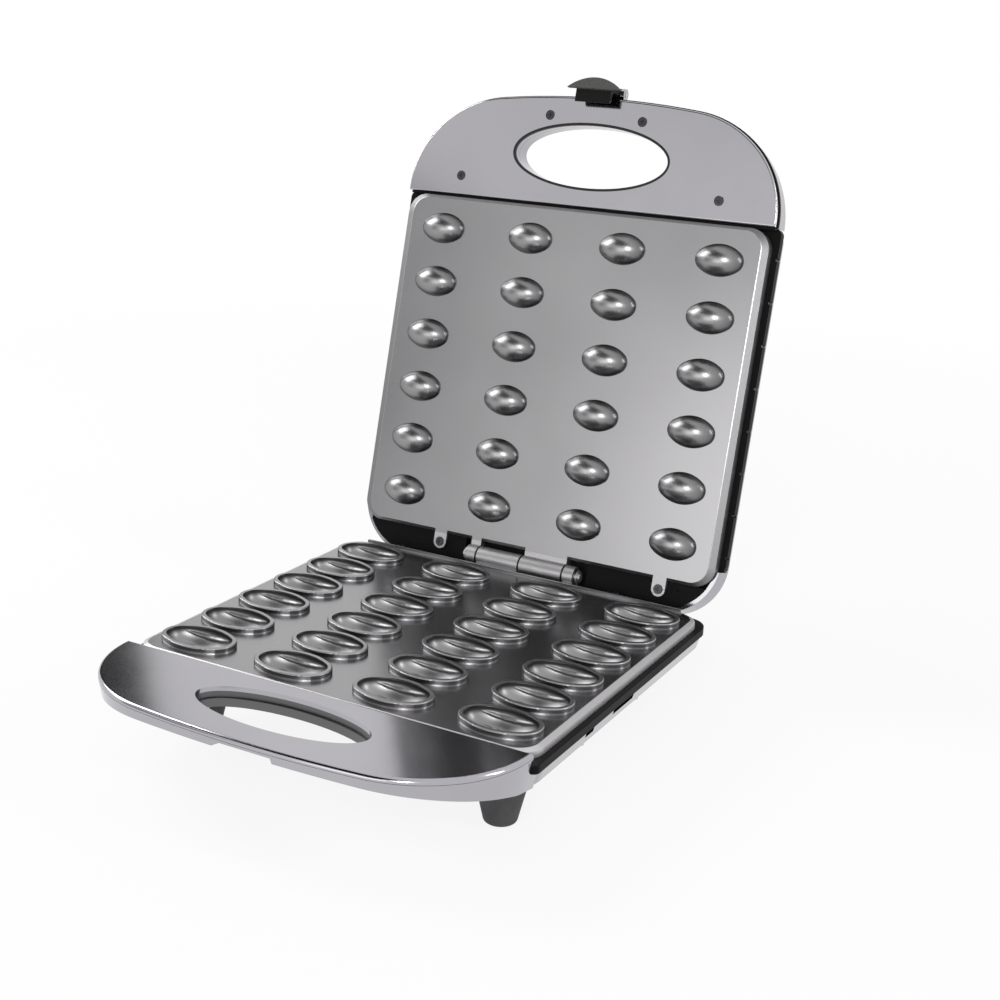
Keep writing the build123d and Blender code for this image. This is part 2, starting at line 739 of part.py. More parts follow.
for x in (-near_ear_x, far_ear_x):
    upper_frame += post(boss_radius, x, upper_ear_y, upper_back_z, flange_low_z + 1)
    upper_frame -= post(screw_radius, x, upper_ear_y, upper_back_z, flange_low_z - 1)
upper_frame -= post(0.9, dimple_x, dimple_y, 0, upper_back_z + 0.8)
liner_low_z = upper_handle_face_z + handle_cover_thickness + 0.1
liner = extrude(handle_outline(handle_liner_lip, liner_low_z), handle_liner_thickness)
liner -= oval(
    slot_half_length + slot_collar_wall + 0.3, slot_half_width + slot_collar_wall + 0.3, slot_y, 0, 20
)
for x, y in lower_screw_places:
    liner -= post(boss_radius + 0.3, x, y, 0, 20)
upper_liner = liner - block((-200, 200), (root_y, 0), (0, 20))
upper_frame += block(
    (-root_x + 1, root_x - 1), (front_wall_y, plate_front - frame_seat_gap),
    (liner_low_z, lid_side_rim_z - seam_gap),
)
for step in range(vent_notch_count):
    notch_y = -92.0 + step * vent_notch_pitch
    for side in (-1, 1):
        upper_frame -= Pos(side * body_half_width, notch_y, flange_low_z + frame_flange / 2) * Box(
            2 * vent_notch_depth, vent_notch_width, 20
        )
upper_post_places = symmetric_places([(lid_post_x, lid_post_y), (lid_post_x, -lid_post_y)])

# Upper handle face: the silver D that faces the base, with four screws and the slot's wall.
upper_face_top_z = upper_handle_face_z + handle_cover_thickness
upper_face = extrude(handle_outline(0, upper_handle_face_z), handle_cover_thickness)
upper_face = fillet(upper_face.faces().sort_by(Axis.Z)[0].outer_wire().edges(), upper_handle_face_round)
upper_face += oval(
    slot_half_length + slot_collar_wall, slot_half_width + slot_collar_wall, slot_y,
    upper_handle_face_z + 1, upper_handle_face_z + slot_collar_depth,
)
upper_face -= oval(slot_half_length, slot_half_width, slot_y, -10, 30)
for x, y in lower_screw_places:
    upper_face -= screw_hole(x, y, -10, 30)
    recess_top_z = upper_handle_face_z + handle_screw_recess
    upper_face -= post(screw_head_radius + screw_clearance, x, y, -10, recess_top_z)


# Upper handle shell: the silver back of the lid's handle, with its screw bosses and latch lugs.
def upper_handle_wedge(inset, low_z):
    wedge = extrude(handle_outline(-inset, low_z), 40)
    return wedge - below_plane(upper_handle_front_z - inset, upper_handle_rear_z - inset, False)


shell_low_z = liner_low_z + handle_liner_thickness + 0.1
upper_handle = upper_handle_wedge(0, shell_low_z)
sloped_top = upper_handle.faces().sort_by(Axis.Z)[-1]
upper_handle = fillet(sloped_top.outer_wire().edges().sort_by(Axis.Y)[:-1], upper_handle_round)
upper_handle -= upper_handle_wedge(shell_wall, shell_low_z)
upper_collar = oval(
    slot_half_length + slot_collar_wall, slot_half_width + slot_collar_wall, slot_y,
    upper_handle_face_z + slot_collar_depth + seam_gap, 60,
)
upper_handle += upper_collar - below_plane(upper_handle_front_z, upper_handle_rear_z, False)
upper_handle -= oval(slot_half_length, slot_half_width, slot_y, -10, 60)
handle_slope = (upper_handle_rear_z - upper_handle_front_z) / (root_y - handle_front)
for x, y in lower_screw_places:
    over_z = upper_handle_front_z + handle_slope * (y - handle_front)
    upper_handle += post(boss_radius, x, y, upper_face_top_z + 0.1, over_z - 1.0)
    upper_handle -= post(screw_radius, x, y, 0, over_z - 2.0)
lug_inner = latch_half_width + lug_gap
for side in (-1, 1):
    lug_x = sorted((side * lug_inner, side * (lug_inner + lug_thickness)))
    lug = rod(lug_radius, lug_x, latch_pin_y, latch_pin_z)
    lug_z = (latch_pin_z - lug_radius + 0.8, latch_pin_z + 2.6)
    lug += block(lug_x, (latch_pin_y, handle_front + 1.5), lug_z)
    upper_handle += lug
upper_handle -= rod(latch_pin_radius + pin_running_clearance, (-30, 30), latch_pin_y, latch_pin_z)


# Upper silver cover: the lid's back, a tapered dome whose rim wraps the black apron behind.
def lid_dome(inset, low_z):
    rear = lid_shell_rear - inset
    corner = lid_shell_corner - inset
    flare = lid_rim_flare
    skirt = loft([
        rounded(body_half_width - flare - inset, front_wall_y + 2 * seam_gap, rear - flare, 8, corner, low_z),
        rounded(body_half_width - inset, front_wall_y + 2 * seam_gap, rear, 8, corner, lid_bulge_z),
    ], ruled=True)
    crown = loft([
        rounded(body_half_width - inset, front_wall_y + 2 * seam_gap, rear, 8, corner, lid_bulge_z),
        rounded(
            body_half_width - lid_top_inset - inset, front_wall_y + lid_top_inset + inset,
            rear - lid_top_inset, 22, corner, lid_height - inset,
        ),
    ], ruled=True)
    return skirt + crown


lid_outer = lid_dome(0, lid_rear_rim_z)
lid_outer = fillet(lid_outer.faces().sort_by(Axis.Z)[-1].outer_wire().edges(), lid_top_round)
lid_cover = lid_outer - lid_dome(shell_wall, lid_rear_rim_z)
lid_cover -= block((-200, 200), (-200, side_band_rear + seam_gap), (-10, lid_side_rim_z))
lid_cover -= slab(
    plate_half_width + plate_clearance, plate_front, plate_rear + plate_clearance,
    plate_corner, plate_corner, 0, upper_skirt_z + plate_clearance,
)
for x, y in upper_post_places:
    column = post(boss_radius, x, y, lid_side_rim_z, 60) & lid_dome(0.5, lid_rear_rim_z)
    lid_cover += column
    lid_cover -= post(screw_radius, x, y, 0, lid_side_rim_z + 9)
    tab_x = sorted((x - math.copysign(boss_radius, x), math.copysign(frame_opening_half_width + 1, x)))
    tab_z = (flange_low_z, lid_side_rim_z - seam_gap)
    upper_frame += block(tab_x, (y - boss_radius, y + boss_radius), tab_z)
    upper_frame -= screw_hole(x, y, 0, 40)
for side in (-1, 1):
    lid_cover -= post(lens_radius + 0.15, side * lamp_x, lamp_y, lid_height - 10, lid_height + 5)

# Latch: a plastic clip with a crescent finger grip and a hook that catches the lower handle.
hook_top_z = notch_roof_z - hook_gap
hook_low_z = hook_top_z - hook_thickness
web_back_y = latch_pin_y + latch_web / 2
latch = rod(latch_barrel_radius, (-latch_half_width, latch_half_width), latch_pin_y, latch_pin_z)
latch += block(
    (-latch_half_width, latch_half_width), (web_back_y - latch_web, web_back_y), (hook_low_z, latch_pin_z)
)
latch += block(
    (-latch_half_width, latch_half_width), (web_back_y - latch_web, web_back_y + hook_reach),
    (hook_low_z, hook_top_z),
)
grip_chord_y = web_back_y - 0.6
grip = make_face([
    Line((-grip_half_width, grip_chord_y), (grip_half_width, grip_chord_y)),
    ThreePointArc(
        (grip_half_width, grip_chord_y), (0, grip_chord_y - grip_reach), (-grip_half_width, grip_chord_y)
    ),
])
nose = latch.edges().filter_by(Axis.X).sort_by(Axis.Z)[:4].sort_by(Axis.Y)[-1]
latch = chamfer(nose, hook_thickness * 0.6)
grip = extrude(Pos(0, 0, hook_low_z - grip_lead) * grip, grip_lead + grip_thickness)
grip_slope = Pos(0, grip_chord_y, hook_low_z - grip_lead) * Rot(-grip_tilt, 0, 0)
grip -= grip_slope * Pos(0, -20, -5) * Box(60, 40, 10)
latch += grip
latch -= rod(latch_pin_radius + pin_running_clearance, (-30, 30), latch_pin_y, latch_pin_z)
spring_half_length = spring_turns * spring_pitch / 2 + 2 * spring_wire_radius
spring_room = rod(
    latch_barrel_radius + 2, (-spring_half_length - 0.8, spring_half_length + 0.8), latch_pin_y, latch_pin_z
)
latch -= spring_room

latch_pin_reach = lug_inner + lug_thickness + latch_pin_overhang
latch_pin = rod(
    latch_pin_radius, (-latch_pin_reach, latch_pin_reach), latch_pin_y, latch_pin_z
)


# Latch spring: an open coil of wire around the pin, swept along pairs of tangent arcs.
def coil_point(turn):
    angle = 2 * math.pi * turn
    return Vector(
        (turn - spring_turns / 2) * spring_pitch,
        latch_pin_y + spring_coil_radius * math.cos(angle),
        latch_pin_z + spring_coil_radius * math.sin(angle),
    )


def coil_tangent(turn):
    angle = 2 * math.pi * turn
    around = 2 * math.pi * spring_coil_radius
    return Vector(spring_pitch, -around * math.sin(angle), around * math.cos(angle)).normalized()


def biarc(start, end, start_tangent, end_tangent):
    """Two arcs that leave start and reach end along the given tangents."""
    chord = end - start
    both = start_tangent + end_tangent
    spread = 2 * (1 - start_tangent.dot(end_tangent))
    reach = (math.sqrt(chord.dot(both) ** 2 + spread * chord.dot(chord)) - chord.dot(both)) / spread
    joint = (start + start_tangent * reach + end - end_tangent * reach) * 0.5
    first = TangentArc(start, joint, tangent=start_tangent)
    return [first, TangentArc(joint, end, tangent=first % 1)]


coil_edges = []
for quarter in range(4 * spring_turns):
    start, end = quarter / 4, (quarter + 1) / 4
    coil_edges += biarc(coil_point(start), coil_point(end), coil_tangent(start), coil_tangent(end))
end_run = 2 * spring_wire_radius
first_end, last_end = coil_point(0), coil_point(spring_turns)
coil_edges.insert(0, Line(first_end - coil_tangent(0) * end_run, first_end))
coil_edges.append(Line(last_end, last_end + coil_tangent(spring_turns) * end_run))
coil_path = Wire(coil_edges)
wire_section = Plane(origin=coil_path @ 0, z_dir=coil_path % 0) * Circle(spring_wire_radius)
latch_spring = sweep(wire_section, path=coil_path)
coil_samples = [coil_point(step / 24) for step in range(24 * spring_turns + 1)]
coil_gap = min(
    (coil_samples[a] - coil_samples[b]).length
    for a in range(len(coil_samples))
    for b in range(a + 16, len(coil_samples))
) - 2 * spring_wire_radius
print("latch spring: least gap to itself", round(coil_gap, 3), "mm")


# Feet: tapered rubber cones under the floor, each held by a screw from below.
def foot(x, y):
    cone_low = -mating_height
    height = housing_floor_z - cone_low
    body = Pos(x, y, cone_low + height / 2) * Cone(foot_bottom_radius, foot_top_radius, height)
    body = fillet(body.edges().sort_by(Axis.Z)[0], foot_sole_round)
    body -= post(foot_screw_recess_radius, x, y, cone_low, cone_low + foot_screw_recess_depth)
    return body - screw_hole(x, y, cone_low, housing_floor_z)


# Heating elements: a bent steel tube under each plate, with a connection pin at both ends.
def element(height):
    points = [(-element_tail_x, element_tail_y), (-element_tail_x, element_half_length)]
    points += [(-element_half_width, element_half_length), (-element_half_width, -element_half_length)]
    points += [(-x, y) for x, y in reversed(points)]
    path = FilletPolyline(*[(x, y, height) for x, y in points], radius=element_bend)
    tube = sweep(Plane(origin=path @ 0, z_dir=path % 0) * Circle(element_radius), path=path)
    for side in (-1, 1):
        pin = Pos(side * element_tail_x, element_tail_y + terminal_pin_length / 2, height)
        tube += pin * Rot(90, 0, 0) * Cylinder(terminal_pin_radius, terminal_pin_length + 1)
    return tube


def clamps(height, toward_plate):
    """Four bars that hold the element against its plate, each on one post."""
    low, high = sorted((height, height - toward_plate * clamp_thickness))
    bars = []
    for x, y in clamp_places:
        outward = math.copysign(1, x)
        x_range = sorted((x - outward * 5, x + outward * clamp_reach))
        bar = block(x_range, (y - clamp_width / 2, y + clamp_width / 2), (low, high))
        bars.append(bar - screw_hole(x, y, low - 1, high + 1))
    return bars


def shield(height, toward_plate):
    """A thin reflector tray with a turned-up edge, holed for the posts that pass it."""
    top = height + toward_plate * shield_lip
    low, high = sorted((height, top))
    tray = slab(shield_half_width, shield_front, shield_rear, 12, 12, low, high)
    sheet_low, sheet_high = sorted((height + toward_plate * shield_sheet, top + toward_plate))
    inner = 12 - shield_sheet
    tray -= slab(
        shield_half_width - shield_sheet, shield_front + shield_sheet, shield_rear - shield_sheet,
        inner, inner, sheet_low, sheet_high,
    )
    return tray


lower_shield_z = lower_clamp_z - clamp_thickness - screw_head_height - 1.6
upper_shield_z = upper_clamp_z + clamp_thickness + screw_head_height + 1.6
lower_shield = shield(lower_shield_z, 1)
upper_shield = shield(upper_shield_z, -1)
shield_post_places = symmetric_places([(shield_post_x, shield_post_y), (shield_post_x, -shield_post_y)])
for x, y in shield_post_places:
    lower_housing += post(boss_radius, x, y, floor_top_z - 1, lower_shield_z)
    lower_housing -= post(screw_radius, x, y, floor_top_z, lower_shield_z)
    lower_shield -= screw_hole(x, y, -60, 60)
    lid_cover += post(boss_radius, x, y, upper_shield_z, 80) & lid_dome(0.5, lid_rear_rim_z)
    lid_cover -= post(screw_radius, x, y, 0, upper_shield_z + 8)
    upper_shield -= screw_hole(x, y, -60, 60)


# Thermostats: a round body pressed on the back of each plate, with two blade terminals.
def thermostat(face_z, away):
    low, high = sorted((face_z, face_z + away * thermostat_body))
    body = post(thermostat_radius, 0, 0, low, high)
    blade_z = sorted(face_z + away * (thermostat_body + end) for end in (-1, blade_length))
    for side in (-1, 1):
        body += block((side * 4 - 0.4, side * 4 + 0.4), (-3, 3), blade_z)
    return body


lower_thermostat = thermostat(lower_face_z - plate_thickness, -1)
upper_thermostat = thermostat(upper_back_z, 1)
thermal_fuse = Pos(0, 26, lower_face_z - plate_thickness - fuse_radius - 0.2) * Rot(90, 0, 0) * Cylinder(
    fuse_radius, fuse_length
)

# Terminal block behind the shield, and the two leads from it to the element's pins.
block_z = floor_top_z
terminal_block = block((-34, 34), (terminal_block_y - 6, terminal_block_y + 6), (block_z, block_z + 11))
for x in (-24, -12, 0, 12, 24):
    terminal_block -= block(
        (x - 3.6, x + 3.6), (terminal_block_y - 8, terminal_block_y + 8), (block_z + 6, block_z + 12)
    )
    terminal_block -= post(1.4, x, terminal_block_y, block_z + 2, block_z + 12)
leads = []
for side in (-1, 1):
    lead_path = FilletPolyline(
        (side * 24, terminal_block_y + 4.6, block_z + 6.2),
        (side * 24, terminal_block_y + 4.6, lower_element_z),
        (side * element_tail_x, element_tail_y + terminal_pin_length + 2, lower_element_z),
        radius=1.5,
    )
    section = Plane(origin=lead_path @ 0, z_dir=lead_path % 0) * Circle(lead_radius)
    leads.append(sweep(section, path=lead_path))

# Indicator lenses in the lid's back, each with a small neon lamp behind it.
lens_pieces = []
neon_lamps = []
for side in (-1, 1):
    lens = post(lens_radius, side * lamp_x, lamp_y, lid_height - shell_wall - 2, lid_height + 0.2)
    lens += post(lens_radius + lens_flange, side * lamp_x, lamp_y, lid_height, lid_height + lens_height)
    lens = fillet(lens.edges().sort_by(Axis.Z)[-1], lens_height * 0.45)
    lens_pieces.append(lens)
    lamp_top = lid_height - shell_wall - 2.2
    neon_lamps.append(post(lamp_radius, side * lamp_x, lamp_y, lamp_top - lamp_length, lamp_top))

# Rubber grommet in the sloping rear of the housing, where the supply cord goes in.
inlet_grommet = Pos(0, 0, 1.0) * Cylinder(inlet_flange, 2.0)
inlet_grommet += Pos(0, 0, -2.4) * Cylinder(inlet_radius, 6.8)
inlet_grommet += Pos(0, 0, -shell_wall - 2.2) * Cylinder(inlet_flange - 1, 2.0)
inlet_grommet -= Cylinder(inlet_bore, 40)
inlet_grommet = inlet_slope * inlet_grommet

# Screws, grouped where they are alike.
lower_ear_screws = [
    screw(x, lower_ear_y, lower_face_z + screw_head_height, lower_face_z - plate_thickness - 6)
    for x in (-far_ear_x, near_ear_x)
]
upper_ear_screws = [
    screw(x, upper_ear_y, upper_face_z + screw_head_recess - screw_head_height, upper_back_z + 4)
    for x in (-near_ear_x, far_ear_x)
]
upper_handle_screws = [
    screw(x, y, upper_handle_face_z + handle_screw_recess - screw_head_height, upper_face_top_z + 5.5)
    for x, y in lower_screw_places
]
lower_handle_screws = []
for x, y in lower_screw_places:
    under_z = lower_skirt_front_z + skirt_slope * (y - handle_front)
    lower_handle_screws.append(screw(x, y, under_z + 2.2 - screw_head_height, lower_handle_top_z - 1.4))
foot_screws = [
    screw(x, y, -mating_height + foot_screw_recess_depth - screw_head_height, floor_top_z + 4)
    for x, y in foot_places
]
lower_frame_screws = [
    screw(x, y, floor_top_z + frame_screw_recess - screw_head_height, frame_post_low_z + 7)
    for x, y in frame_post_places
]
upper_frame_screws = [
    screw(x, y, flange_low_z - screw_head_height, lid_side_rim_z + 8) for x, y in upper_post_places
]
lower_clamp_screws = [
    screw(x, y, lower_clamp_z - clamp_thickness - screw_head_height, lower_clamp_z + 6)
    for x, y in clamp_places
]
upper_clamp_screws = [
    screw(x, y, upper_clamp_z + clamp_thickness + screw_head_height, upper_clamp_z - 5)
    for x, y in clamp_places
]
lower_shield_screws = [
    screw(x, y, lower_shield_z + shield_sheet + screw_head_height, lower_shield_z - 4)
    for x, y in shield_post_places
]
upper_shield_screws = [
    screw(x, y, upper_shield_z - shield_sheet - screw_head_height, upper_shield_z + 6)
    for x, y in shield_post_places
]

# The base stays where it is, the lid pieces swing open about the hinge pin.
base_pieces = {
    "lower_housing": lower_housing,
    "lower_handle_cover": lower_cover,
    "lower_frame": lower_frame,
    "lower_baking_plate": lower_plate,
    "hinge_pin": hinge_pin,
    "hinge_pin_clips": pin_clips,
    "foot_front_left": foot(-front_foot_x, front_foot_y),
    "foot_front_right": foot(front_foot_x, front_foot_y),
    "foot_rear_left": foot(-rear_foot_x, rear_foot_y),
    "foot_rear_right": foot(rear_foot_x, rear_foot_y),
    "foot_screws": foot_screws,
    "lower_ear_screws": lower_ear_screws,
    "lower_handle_screws": lower_handle_screws,
    "lower_frame_screws": lower_frame_screws,
    "lower_heating_element": element(lower_element_z),
    "lower_element_clamps": clamps(lower_clamp_z, 1),
    "lower_clamp_screws": lower_clamp_screws,
    "lower_heat_shield": lower_shield,
    "lower_shield_screws": lower_shield_screws,
    "lower_thermostat": lower_thermostat,
    "thermal_fuse": thermal_fuse,
    "terminal_block": terminal_block,
    "element_leads": leads,
    "cord_inlet_grommet": inlet_grommet,
}
lid_pieces = {
    "lid_cover": lid_cover,
    "upper_frame": upper_frame,
    "upper_handle_liner": upper_liner,
    "upper_baking_plate": upper_plate,
    "upper_handle_face": upper_face,
    "upper_handle_shell": upper_handle,
    "upper_ear_screws": upper_ear_screws,
    "upper_handle_screws": upper_handle_screws,
    "upper_frame_screws": upper_frame_screws,
    "upper_heating_element": element(upper_element_z),
    "upper_element_clamps": clamps(upper_clamp_z, -1),
    "upper_clamp_screws": upper_clamp_screws,
    "upper_heat_shield": upper_shield,
    "upper_shield_screws": upper_shield_screws,
    "upper_thermostat": upper_thermostat,
    "power_lamp_lens": lens_pieces[0],
    "ready_lamp_lens": lens_pieces[1],
    "neon_lamps": neon_lamps,
    "latch_pin": latch_pin,
    "latch_spring": latch_spring,
}
latch_pieces = {
    "latch": latch,
}


def as_one(shape):
    return Compound(children=list(shape)) if isinstance(shape, list) else shape


def swung_open(shape):
    return Pos(0, hinge_y, 0) * Rot(-lid_open_angle, 0, 0) * Pos(0, -hinge_y, 0) * shape


machine = {name: as_one(shape) for name, shape in base_pieces.items()}
for name, shape in {**lid_pieces, **latch_pieces}.items():
    machine[name] = swung_open(as_one(shape))
boxes = [shape.bounding_box() for shape in machine.values()]
front_end = min(box.min.Y for box in boxes)
rear_end = max(box.max.Y for box in boxes)
to_stand = Pos(0, -(front_end + rear_end) / 2, mating_height)
os.makedirs("parts", exist_ok=True)
for name, shape in machine.items():
    export_step(to_stand * shape, os.path.join("parts", name + ".step"))
print("machine moved back by", round(-(front_end + rear_end) / 2, 4), "and up by", mating_height)
print("hinge axis at y", round(hinge_y - (front_end + rear_end) / 2, 4), "z", mating_height)
latch_axis = swung_open(Pos(0, latch_pin_y, latch_pin_z) * Sphere(1)).center()
latch_axis_y = latch_axis.Y - (front_end + rear_end) / 2
print("latch axis at y", round(latch_axis_y, 4), "z", round(latch_axis.Z + mating_height, 4))
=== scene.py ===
import bpy
import bmesh
import json
import math
from mathutils import Matrix, Vector


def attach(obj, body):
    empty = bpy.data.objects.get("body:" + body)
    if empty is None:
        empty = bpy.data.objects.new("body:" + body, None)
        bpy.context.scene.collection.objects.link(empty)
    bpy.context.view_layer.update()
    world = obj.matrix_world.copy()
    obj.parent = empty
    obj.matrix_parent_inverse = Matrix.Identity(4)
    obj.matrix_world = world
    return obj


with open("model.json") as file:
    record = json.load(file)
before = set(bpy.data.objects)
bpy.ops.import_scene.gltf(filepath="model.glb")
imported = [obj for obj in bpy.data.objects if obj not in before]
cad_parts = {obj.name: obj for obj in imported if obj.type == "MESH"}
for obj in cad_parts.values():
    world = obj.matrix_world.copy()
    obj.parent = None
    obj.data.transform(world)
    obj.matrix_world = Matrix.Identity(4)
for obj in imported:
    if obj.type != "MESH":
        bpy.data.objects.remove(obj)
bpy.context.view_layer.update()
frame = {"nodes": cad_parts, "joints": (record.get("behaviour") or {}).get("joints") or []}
nodes = frame["nodes"]

# Housing: the base's shell, with side walls, floor and the lower half of the carrying handle.
# It is one ABS moulding, sprayed outside with a glossy silver lacquer that holds a fine flake.
# Everything else of the base is screwed to it.


def add(tree, kind, inputs=None, **settings):
    """A shader node of this kind, with each input filled or linked by its name."""
    made = tree.nodes.new("ShaderNode" + kind)
    for name, value in settings.items():
        setattr(made, name, value)
    for name, value in (inputs or {}).items():
        socket = made.inputs[name]
        if isinstance(value, bpy.types.NodeSocket):
            tree.links.new(value, socket)
        else:
            socket.default_value = value
    return made


def sum_of(tree, operation, first, second=0.0):
    """The result of a sum, product or other operation on one or two values."""
    return add(tree, "Math", {0: first, 1: second}, operation=operation).outputs[0]


def length_of(tree, across, up):
    """The length of a step from its two parts."""
    squares = [sum_of(tree, "MULTIPLY", part, part) for part in (across, up)]
    return sum_of(tree, "SQRT", sum_of(tree, "ADD", *squares))


def ramp(tree, value, low, high, to_low=0.0, to_high=1.0):
    """A value that goes evenly from one level to another between two places, and stays there."""
    made = add(tree, "MapRange", {"Value": value, "From Min": low, "From Max": high})
    made.inputs["To Min"].default_value = to_low
    made.inputs["To Max"].default_value = to_high
    return made.outputs["Result"]


def either(tree, mask, under, over):
    """One value over another by a mask."""
    return add(tree, "Mix", {"Factor": mask, "A": under, "B": over}).outputs["Result"]


def tint(tree, mask, under, over):
    """One colour over another by a mask, each a colour or a socket."""
    made = add(tree, "Mix", {"Factor": mask}, data_type="RGBA")
    for name, value in (("A", under), ("B", over)):
        if isinstance(value, tuple):
            made.inputs[name].default_value = (*value, 1)
        else:
            tree.links.new(value, made.inputs[name])
    return made.outputs["Result"]


def effect_group(name, inputs, outputs):
    """An empty group for an effect, with its input and output nodes."""
    group = bpy.data.node_groups.new(name, "ShaderNodeTree")
    for label, value in inputs.items():
        socket = group.interface.new_socket(label, in_out="INPUT", socket_type="NodeSocketFloat")
        socket.default_value = value
    for label in outputs:
        group.interface.new_socket(label, in_out="OUTPUT", socket_type="NodeSocketFloat")
    return group, group.nodes.new("NodeGroupInput"), group.nodes.new("NodeGroupOutput")


# Fine grain is the even texture of cast, blasted and moulded surfaces, at a size in millimetres.
grain, taken, given = effect_group("fine_grain", {"Size": 0.6}, ("Tone", "Height"))
place = add(grain, "TexCoord").outputs["Object"]
pitch = sum_of(grain, "DIVIDE", 1000.0, taken.outputs["Size"])
coarse = add(grain, "TexNoise", {"Vector": place, "Scale": pitch, "Detail": 4.0, "Roughness": 0.6})
fine_pitch = sum_of(grain, "MULTIPLY", pitch, 2.7)
fine = add(grain, "TexNoise", {
    "Vector": place, "Scale": fine_pitch, "Detail": 2.0, "Roughness": 0.5,
})
both = sum_of(grain, "ADD", coarse.outputs[0], fine.outputs[0])
grain.links.new(ramp(grain, both, 0.72, 1.28), given.inputs["Tone"])
grain.links.new(sum_of(grain, "MULTIPLY", both, 0.5), given.inputs["Height"])

# Uneven patches are the broad, soft changes of tone that handling, heat and coating leave.
patches, taken, given = effect_group("uneven_patches", {"Size": 60.0}, ("Tone",))
place = add(patches, "TexCoord").outputs["Object"]
pitch = sum_of(patches, "DIVIDE", 1000.0, taken.outputs["Size"])
cloud = add(patches, "TexNoise", {
    "Vector": place, "Scale": pitch, "Detail": 3.0, "Roughness": 0.45,
})
patches.links.new(ramp(patches, cloud.outputs[0], 0.32, 0.68), given.inputs["Tone"])


def effect(tree, group, size):
    """An effect placed in a material at a size in millimetres."""
    made = tree.nodes.new("ShaderNodeGroup")
    made.node_tree = group
    made.inputs["Size"].default_value = size
    return made.outputs


def new_finish(name, **constants):
    """A new material, with the values that are the same all over it."""
    finish = bpy.data.materials.new(name)
    finish.use_nodes = True
    tree = finish.node_tree
    surface = tree.nodes["Principled BSDF"]
    for label, value in constants.items():
        socket = surface.inputs[label.replace("_", " ")]
        socket.default_value = (*value, 1) if isinstance(value, tuple) else value
    return finish, tree, surface


def paint(tree, surface, colour, roughness, height, depth):
    """Colour, roughness and a bump of this depth in millimetres."""
    bump = add(tree, "Bump", {"Height": height, "Strength": 1.0, "Distance": depth * 0.001})
    tree.links.new(colour, surface.inputs["Base Color"])
    tree.links.new(roughness, surface.inputs["Roughness"])
    tree.links.new(bump.outputs["Normal"], surface.inputs["Normal"])


def give(finish, *names):
    """Puts a finish on CAD nodes."""
    for name in names:
        nodes[name].data.materials.clear()
        nodes[name].data.materials.append(finish)


# The hinge is the datum of both halves: the base lies in front of it, the lid stands swung open.
# Places on either half are in millimetres as on the closed machine, measured from the hinge.
hinge = Vector(next(joint["pos_m"] for joint in frame["joints"] if joint["name"] == "lid_hinge"))
base_up = Vector((0, 0, 1))
base_rear = Vector((0, 1, 0))


def from_hinge(tree):
    place = add(tree, "TexCoord").outputs["Object"]
    return add(tree, "VectorMath", {0: place, 1: tuple(hinge)}, operation="SUBTRACT").outputs[0]


def along(tree, local, direction):
    """How many millimetres a place lies from the hinge in a direction."""
    scaled = tuple(1000 * part for part in direction)
    measured = add(tree, "VectorMath", {0: local, 1: scaled}, operation="DOT_PRODUCT")
    return measured.outputs["Value"]


slot_before_hinge = 261.6
slot_half_length = 53.0
slot_half_width = 19.5
mask_edge = 0.2


def lacquer(name, outward, rearward, slot_shade_reach, slot_shade_top, slot_shade_foot, slot_shade_tone):
    """Silver lacquer with a finger slot's wall painted dark between two levels, as painted shade.
    """
    finish, tree, surface = new_finish(
        name, Metallic=1.0, Coat_Weight=0.15, Coat_Roughness=0.08,
    )
    flake = effect(tree, grain, 0.35)
    cloud = effect(tree, patches, 70.0)
    tone = sum_of(tree, "ADD", sum_of(tree, "MULTIPLY", flake["Tone"], 0.5),
                  sum_of(tree, "MULTIPLY", cloud["Tone"], 0.5))
    # The distance from the slot's oval, by the oval's equation over the length of its slope.
    local = from_hinge(tree)
    from_slot = sum_of(tree, "ADD", along(tree, local, rearward), slot_before_hinge)
    aside = sum_of(tree, "DIVIDE", along(tree, local, (1, 0, 0)), slot_half_length)
    ahead = sum_of(tree, "DIVIDE", from_slot, slot_half_width)
    spread = sum_of(tree, "ADD", sum_of(tree, "MULTIPLY", aside, aside),
                    sum_of(tree, "MULTIPLY", ahead, ahead))
    slope = length_of(tree, sum_of(tree, "DIVIDE", aside, slot_half_length),
                      sum_of(tree, "DIVIDE", ahead, slot_half_width))
    from_edge = sum_of(tree, "DIVIDE", sum_of(tree, "SUBTRACT", spread, 1.0),
                       sum_of(tree, "MULTIPLY", slope, 2.0))
    level = along(tree, local, outward)
    # Painted shade: the slot's wall is darker between these two levels, close to the slot.
    slot_shade = sum_of(tree, "MULTIPLY", ramp(tree, level, slot_shade_top, slot_shade_top - mask_edge),
                  ramp(tree, level, slot_shade_foot, slot_shade_foot + mask_edge))
    near_slot = ramp(tree, from_edge, slot_shade_reach, slot_shade_reach - mask_edge)
    slot_shade = sum_of(tree, "MULTIPLY", slot_shade, near_slot)
    colour = tint(tree, tone, (0.39, 0.382, 0.405), (0.46, 0.45, 0.475))
    gloss = ramp(tree, tone, 0.0, 1.0, 0.11, 0.17)
    dull = ramp(tree, flake["Tone"], 0.0, 1.0, 0.42, 0.5)
    paint(tree, surface, tint(tree, slot_shade, colour, slot_shade_tone), either(tree, slot_shade, gloss, dull),
          cloud["Tone"], 0.05)
    return finish


# Painted shade: the wall of the base's finger slot, below the cover, is painted dark grey.
silver = lacquer(
    "silver_lacquer", base_up, base_rear,
    slot_shade_reach=3.4, slot_shade_top=-3.5, slot_shade_foot=-60.0, slot_shade_tone=(0.15, 0.148, 0.152),
)
give(silver, "lower_housing")

